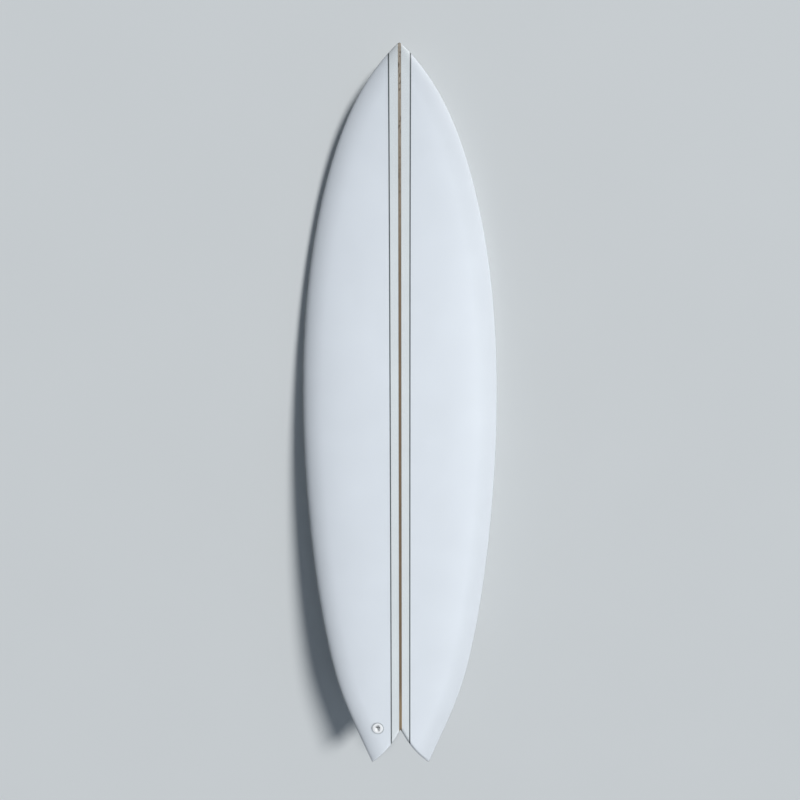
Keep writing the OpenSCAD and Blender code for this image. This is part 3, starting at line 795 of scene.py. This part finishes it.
def skin_finish(tree, place, colour, lap_and_shade_reach):
    # Glass cloth in polyester resin, fine sanded: clear with a soft sheen and a trace of weave. At the rail,
    # where the cloth of both faces is lapped, it is a little milkier, and dimmed there as painted shade
    rail = add(tree, "Attribute", attribute_name="rail").outputs["Fac"]
    # Mask of the lapped cloth at the rail: it makes the lap milkier and also carries the painted shade on the
    # rails
    lap_and_painted_shade = add(tree, "MapRange", [rail, 0, lap_and_shade_reach, 1, 0])
    # Threads are about 0.6 mm apart, drawn at 2 mm so that they show
    warp, weft = [
        add(tree, "TexWave", {"Vector": place, "Scale": WAVE / 0.002}, bands_direction=axis)
        for axis in "XY"]
    sanding = add(tree, "TexNoise", {"Vector": place, "Scale": 1 / 0.03, "Detail": 5})
    bump = add(tree, "Bump", {"Strength": 0.12, "Distance": 0.0001, "Height": ("*", warp, weft)})
    milk = ("+", ("*+", sanding, 0.012, 0.006), ("*", lap_and_painted_shade, 0.012))
    # Towards both rails the clear part lets less light through: painted shade on the rails
    clear = add(tree, "BsdfTransparent", [("*+", lap_and_painted_shade, -0.05, 1)])
    cloth = add(tree, "MixShader", [milk, clear, add(tree, "BsdfDiffuse", {"Color": colour})])
    shine = add(tree, "BsdfAnisotropic", {"Roughness": ("*+", sanding, 0.1, 0.6), "Normal": bump})
    outside = ("-", 1, add(tree, "NewGeometry").outputs["Backfacing"])
    gloss = ("*", add(tree, "Fresnel", [1.5, bump]), outside)
    return add(tree, "MixShader", [gloss, cloth, shine])


def resin_finish(tree, place, colour):
    # Cured resin with cotton filler, sanded flush: cloudy grey, half gloss, with a few pinholes
    clouds = add(tree, "TexNoise", {"Vector": place, "Scale": 1 / 0.006, "Detail": 4})
    # Pinholes about 0.4 mm across, some 3 mm apart
    holes = add(tree, "TexVoronoi", {"Vector": place, "Scale": 1 / 0.003})
    pin = add(tree, "MapRange", [holes, 0.05, 0.12, 1, 0])
    tone = ("+", clouds, ("*", pin, -0.6))
    shade = add(tree, "Mix", [tone, shaded(colour, 0.7), shaded(colour, 1.25)], data_type="RGBA")
    bump = add(tree, "Bump", {"Strength": 0.3, "Distance": 0.0001, "Height": ("*", pin, -1)})
    return add(tree, "BsdfPrincipled", {"Base Color": shade, "Roughness": 0.32, "Normal": bump})


def plastic_finish(tree, place, colour, roughness):
    # Moulded glass-filled nylon: clean white with a fine spark-eroded grain, 0.5 mm across
    grain = add(tree, "TexNoise", {"Vector": place, "Scale": 1 / 0.0005, "Detail": 2})
    flow = add(tree, "TexNoise", {"Vector": place, "Scale": 1 / 0.02, "Detail": 2})
    shade = add(tree, "Mix", [flow, shaded(colour, 0.94), colour], data_type="RGBA")
    bump = add(tree, "Bump", {"Strength": 0.2, "Distance": 0.00005, "Height": grain})
    return add(tree, "BsdfPrincipled", {
        "Base Color": shade, "Roughness": ("*+", flow, 0.1, roughness), "IOR": 1.53, "Normal": bump})


def steel_finish(tree, place, colour):
    # Stainless steel, turned: bright grey with fine tool marks, 0.25 mm apart
    marks = add(tree, "TexNoise", {"Vector": place, "Scale": 1 / 0.00025, "Detail": 2})
    shade = add(tree, "Mix", [marks, shaded(colour, 0.85), colour], data_type="RGBA")
    return add(tree, "BsdfPrincipled", {
        "Base Color": shade, "Metallic": 1, "Roughness": ("*+", marks, 0.15, 0.22)})


def fin_finish(tree, place, colours, ply):
    # Stacked glass cloth in tinted resin, foiled by hand: each layer shows as a paler contour line
    swell = add(tree, "Attribute", attribute_name="ply").outputs["Fac"]
    wander = add(tree, "TexNoise", {"Vector": place, "Scale": 1 / 0.02, "Detail": 2})
    layer = ("FRACT", ("+", ("/", swell, ply), ("*", wander, 0.5)))
    line = add(tree, "MapRange", [("ABSOLUTE", ("-", layer, 0.5)), 0.32, 0.5, 0, 1])
    # Threads are about 0.6 mm apart, drawn at 1.2 mm so that they show
    weave = add(tree, "TexWave", {"Vector": place, "Scale": WAVE / 0.0012}, bands_direction="Y")
    pale = ("*+", line, 0.55, ("*", weave, 0.18))
    shade = add(tree, "Mix", [pale, colours.fin, colours.fin_layer], data_type="RGBA")
    return add(tree, "BsdfPrincipled", {
        "Base Color": shade, "Roughness": ("*+", wander, 0.1, 0.2), "IOR": 1.55,
        "Coat Weight": 0.4, "Coat Roughness": 0.12})


def floor_finish(tree, place, colour):
    # Painted studio floor: pale, matt, with the faintest mottling
    mottle = add(tree, "TexNoise", {"Vector": place, "Scale": 1 / 0.4, "Detail": 3})
    shade = add(tree, "Mix", [mottle, shaded(colour, 0.97), colour], data_type="RGBA")
    return add(tree, "BsdfPrincipled", {"Base Color": shade, "Roughness": 0.85})


def soft_room(stage):
    """A world that lights like a soft room, brightest on its open side, and shows the floor's colour."""
    room = bpy.data.worlds.new("Soft room")
    room.use_nodes = True
    tree = room.node_tree
    tree.nodes.clear()
    rays = add(tree, "LightPath").outputs
    seen = ("+", ("+", rays["Is Camera Ray"], rays["Is Glossy Ray"]), rays["Is Transmission Ray"])
    facing = add(tree, "VectorMath", [
        add(tree, "TexCoord").outputs["Generated"], stage.open_side], operation="DOT_PRODUCT")
    glow = add(tree, "MapRange", [facing, -0.2, 1, 0, stage.sky])
    light = add(tree, "Background", [stage.sky_tint, glow])
    # Reflections show the background at half strength
    pale = add(tree, "Background", [stage.floor, ("*+", rays["Is Glossy Ray"], -0.5, 1)])
    mixed = add(tree, "MixShader", [("MINIMUM", seen, 1), light, pale])
    add(tree, "OutputWorld", [mixed])
    return room


# Operators

class SURFBOARD_OT_stage(bpy.types.Operator):
    """Makes the floor, the light and the camera"""

    bl_idname = "surfboard.stage"
    bl_label = "Stage"

    def execute(self, context):
        settings = context.scene.surfboard
        stage = settings.stage
        scene = context.scene
        mesh = bpy.data.meshes.new("floor")
        corners = [(x * stage.reach, y * stage.reach, 0) for x, y in ((-1, -1), (1, -1), (1, 1), (-1, 1))]
        mesh.from_pydata(corners, [], [(0, 1, 2, 3)])
        mesh.materials.append(finish("Matt floor paint", floor_finish, stage.floor))
        object_of("floor", mesh)
        scene.world = soft_room(stage)

        lamp = bpy.data.lights.new("key", "SUN")
        lamp.energy = stage.key
        lamp.angle = stage.softness
        holder = object_of("key", lamp)
        holder.rotation_euler = Vector(stage.towards).to_track_quat("Z", "Y").to_euler()

        eye = bpy.data.cameras.new("camera")
        eye.lens = stage.lens
        eye.sensor_width = 36
        camera = object_of("camera", eye)
        spot = Vector((0, stage.aim + stage.distance * math.sin(stage.tilt),
                       stage.distance * math.cos(stage.tilt)))
        camera.matrix_world = (on_floor(settings.shape) @ Matrix.Translation(spot)
                               @ Matrix.Rotation(-stage.tilt, 4, "X") @ Matrix.Rotation(stage.roll, 4, "Z"))
        scene.camera = camera
        scene.view_settings.view_transform = "Standard"
        return {"FINISHED"}


class SURFBOARD_OT_blank(bpy.types.Operator):
    """Makes the wood stringer, the foam strips, the glue lines and the outer foam"""

    bl_idname = "surfboard.blank"
    bl_label = "Glued blank"

    def execute(self, context):
        settings = context.scene.surfboard
        colours = settings.finish
        blank = settings.blank
        outline = Outline(settings.shape)
        wood = blank.stringer / 2
        band = wood + blank.band
        glue = band + blank.glue
        rail = settings.shape.width
        pieces = [("stringer", (0.0, wood), finish("Planed softwood", wood_finish, colours), list(SIDES))]
        for name, lines, material in (
                ("foam_band_", (wood, band), finish("Strip foam", foam_finish, colours.band)),
                ("glue_line_", (band, glue), finish("Dyed glue", glue_finish, colours)),
                ("foam_", (glue, rail), finish("Sanded foam", foam_finish, colours.foam))):
            pieces += [(name + side, lines, material, [side]) for side in SIDES]
        for node, lines, material, hands in pieces:
            outer = lines[1] == rail
            tail = outline.tail_tip(blank.skin) if outer else outline.notch_end(lines[1], blank.skin)
            nose = outline.nose_end(lines[0], blank.skin)
            faces = {"inset": (blank.skin, blank.skin), "side": (0.0, 1.0), "tail": (tail, tail),
                     "nose": (nose, nose)}
            cutters = [box_bed(settings, hands[0])] if outer else []
            if node == "foam_left":
                cutters.append(plug_bed(settings.plug))
            grid = FACE_GRID if outer else STRIP_GRID
            board_piece(settings, node, material, hands, grid, lines, faces, 0.0, cutters)
        return {"FINISHED"}


class SURFBOARD_OT_skin(bpy.types.Operator):
    """Makes the clear laminate over the deck and over the bottom"""

    bl_idname = "surfboard.skin"
    bl_label = "Clear skin"

    def execute(self, context):
        settings = context.scene.surfboard
        shape = settings.shape
        outline = Outline(shape)
        cloth = settings.blank.cloth
        laminate = finish("Sanded glass laminate", skin_finish, settings.finish.cloth, settings.blank.lap_and_shade_reach)
        for node, insets, side in (("deck_laminate", (0.0, cloth), 0.0),
                                   ("bottom_laminate", (cloth, 0.0), 1.0)):
            faces = {"inset": insets, "side": (side, side), "tail": [outline.tail_tip(i) for i in insets],
                     "nose": [shape.length - i for i in insets]}
            cutters = [box_bed(settings, hand) for hand in SIDES] if side else [plug_bed(settings.plug)]
            board_piece(settings, node, laminate, SIDES, FACE_GRID, (0.0, shape.width), faces, 1.0, cutters)
        return {"FINISHED"}


class SURFBOARD_OT_leash_plug(bpy.types.Operator):
    """Makes the leash plug, its bar and its ring of resin"""

    bl_idname = "surfboard.leash_plug"
    bl_label = "Leash plug"

    def execute(self, context):
        settings = context.scene.surfboard
        for name, make in (("leash_plug", self.cup), ("leash_plug_bar", self.bar),
                           ("leash_plug_resin", self.resin)):
            stand_for(loft("visual_" + name, *make(settings.plug, settings.finish)), name)
        return {"FINISHED"}

    def cup(self, plug, colours, steps=4):
        """A flanged cup with a pill-shaped mouth."""
        lip = plug.lip
        floor = plug.cup_floor - plug.depth
        rings = [disc(0, -plug.depth), disc(plug.body - lip, -plug.depth),
                 disc(plug.body, lip / 2 - plug.depth), disc(plug.body, -plug.flange_depth),
                 disc(plug.flange, -plug.flange_depth)]
        rings += [disc(plug.flange - lip * inwards, -lip * away) for inwards, away in ROUNDED]
        for k in range(steps + 1):
            angle = math.pi / 2 * k / steps
            out = 2 * lip * (1 - math.sin(angle))
            rings.append((plug.cup_length + out, plug.cup_width + out, lip * (math.cos(angle) - 1)))
        for inwards, away in ROUNDED:
            less = plug.cup_round * inwards
            rings.append((plug.cup_length - less, plug.cup_width - less, floor + plug.cup_round * away))
        rings.append(disc(0, floor))
        return rings, plug_place(plug), finish("Moulded white nylon", plastic_finish, colours.plastic, 0.3)

    def bar(self, plug, colours):
        """A cross bar with chamfered ends, which the cup's wall holds."""
        half = plug.cup_width / 2 + plug.bar_hold
        shoulder = half - plug.bar_chamfer
        thin = plug.bar - 2 * plug.bar_chamfer
        rings = [disc(0, -half), disc(thin, -half), disc(plug.bar, -shoulder), disc(plug.bar, shoulder),
                 disc(thin, half), disc(0, half)]
        along = Matrix.Translation((0, 0, -plug.bar_depth)) @ Matrix.Rotation(math.pi / 2, 4, "Y")
        return rings, plug_place(plug) @ along, finish("Turned stainless steel", steel_finish, colours.steel)

    def resin(self, plug, colours):
        """A bed round the cup, whose sanded top sags a little."""
        fit = plug.resin_fit
        wide = plug.flange + 2 * plug.resin
        floor = -plug.depth - plug.resin
        step = -plug.flange_depth - fit
        rings = [disc(0, floor), disc(wide, floor)]
        rings += [disc(wide - 2 * plug.resin * inwards, -plug.sag * down) for inwards, down in SAGGING]
        rings += [disc(plug.flange + fit, 0), disc(plug.flange + fit, step), disc(plug.body + fit, step),
                  disc(plug.body + fit, -plug.depth - fit), disc(0, -plug.depth - fit)]
        return rings, plug_place(plug), finish("Filled resin", resin_finish, colours.resin)


class SURFBOARD_OT_fins(bpy.types.Operator):
    """Makes the two foiled fins, each with the tab that its box holds"""

    bl_idname = "surfboard.fins"
    bl_label = "Fins"

    def execute(self, context):
        settings = context.scene.surfboard
        fin = settings.fin
        tree = fin_tree()
        laminate = finish("Foiled glass laminate", fin_finish, settings.finish, fin.ply)
        values = by_name(fin) | {"Columns": BLADE_GRID[0], "Rows": BLADE_GRID[1], "Material": laminate}
        for side in SIDES:
            piece = grow(tree, "visual_fin_" + side, values)
            combine(piece, "UNION", self.tab(fin, laminate))
            piece.data.transform(box_place(settings, side) @ Matrix.Rotation(-fin.cant, 4, "Y"))
            if side == "left":
                piece.data.flip_normals()
            stand_for(piece, "fin_" + side, "fin_" + side + "_body")
        return {"FINISHED"}

    def tab(self, fin, laminate):
        """A tab with rounded edges, from just inside the blade up."""
        tall = fin.tab[2] + fin.base_play + SINK
        block = Matrix.Translation((0, 0, fin.tab[2] - tall / 2)) @ Matrix.Diagonal((*fin.tab[:2], tall, 1))
        build = bmesh.new()
        bmesh.ops.create_cube(build, size=1, matrix=block)
        bmesh.ops.bevel(
            build, geom=build.edges[:], offset=fin.tab_round, segments=3, profile=0.5, affect="EDGES")
        mesh = bpy.data.meshes.new("tab")
        build.to_mesh(mesh)
        build.free()
        mesh.materials.append(laminate)
        return object_of("tab", mesh)


class SURFBOARD_OT_fittings(bpy.types.Operator):
    """Finishes the fin boxes, their beds and the grub screws"""

    bl_idname = "surfboard.fittings"
    bl_label = "Boxes and screws"

    def execute(self, context):
        colours = context.scene.surfboard.finish
        for name, material in (
                ("fin_box_", finish("Sanded white nylon", plastic_finish, colours.plastic, 0.45)),
                ("fin_box_resin_", bpy.data.materials["Filled resin"]),
                ("fin_screw_", bpy.data.materials["Turned stainless steel"])):
            for side in SIDES:
                mesh = frame["nodes"][name + side].data
                mesh.materials.clear()
                mesh.materials.append(material)
        return {"FINISHED"}


class SURFBOARD_PT_panel(bpy.types.Panel):
    """Lists the operators and the sizes"""

    bl_idname = "SURFBOARD_PT_panel"
    bl_label = "Surfboard"
    bl_space_type = "VIEW_3D"
    bl_region_type = "UI"
    bl_category = "Surfboard"

    def draw(self, context):
        for operator in OPERATORS:
            self.layout.operator(operator.bl_idname)
        settings = context.scene.surfboard
        for part in settings.__annotations__:
            group = getattr(settings, part)
            column = self.layout.column(align=True)
            for name in group.__annotations__:
                column.prop(group, name)


GROUPS = (BoardShape, BlankSizes, PlugSizes, FinSizes, Finishes, StageSettings, SurfboardSettings)
OPERATORS = (SURFBOARD_OT_stage, SURFBOARD_OT_blank, SURFBOARD_OT_skin, SURFBOARD_OT_leash_plug,
             SURFBOARD_OT_fins, SURFBOARD_OT_fittings)


def register():
    for made in (*GROUPS, *OPERATORS, SURFBOARD_PT_panel):
        bpy.utils.register_class(made)
    bpy.types.Scene.surfboard = PointerProperty(type=SurfboardSettings)


def unregister():
    del bpy.types.Scene.surfboard
    for made in reversed((*GROUPS, *OPERATORS, SURFBOARD_PT_panel)):
        bpy.utils.unregister_class(made)


def main():
    register()
    bpy.ops.surfboard.stage()
    bpy.ops.surfboard.blank()
    bpy.ops.surfboard.skin()
    bpy.ops.surfboard.leash_plug()
    bpy.ops.surfboard.fins()
    bpy.ops.surfboard.fittings()


if __name__ == "__main__":
    main()
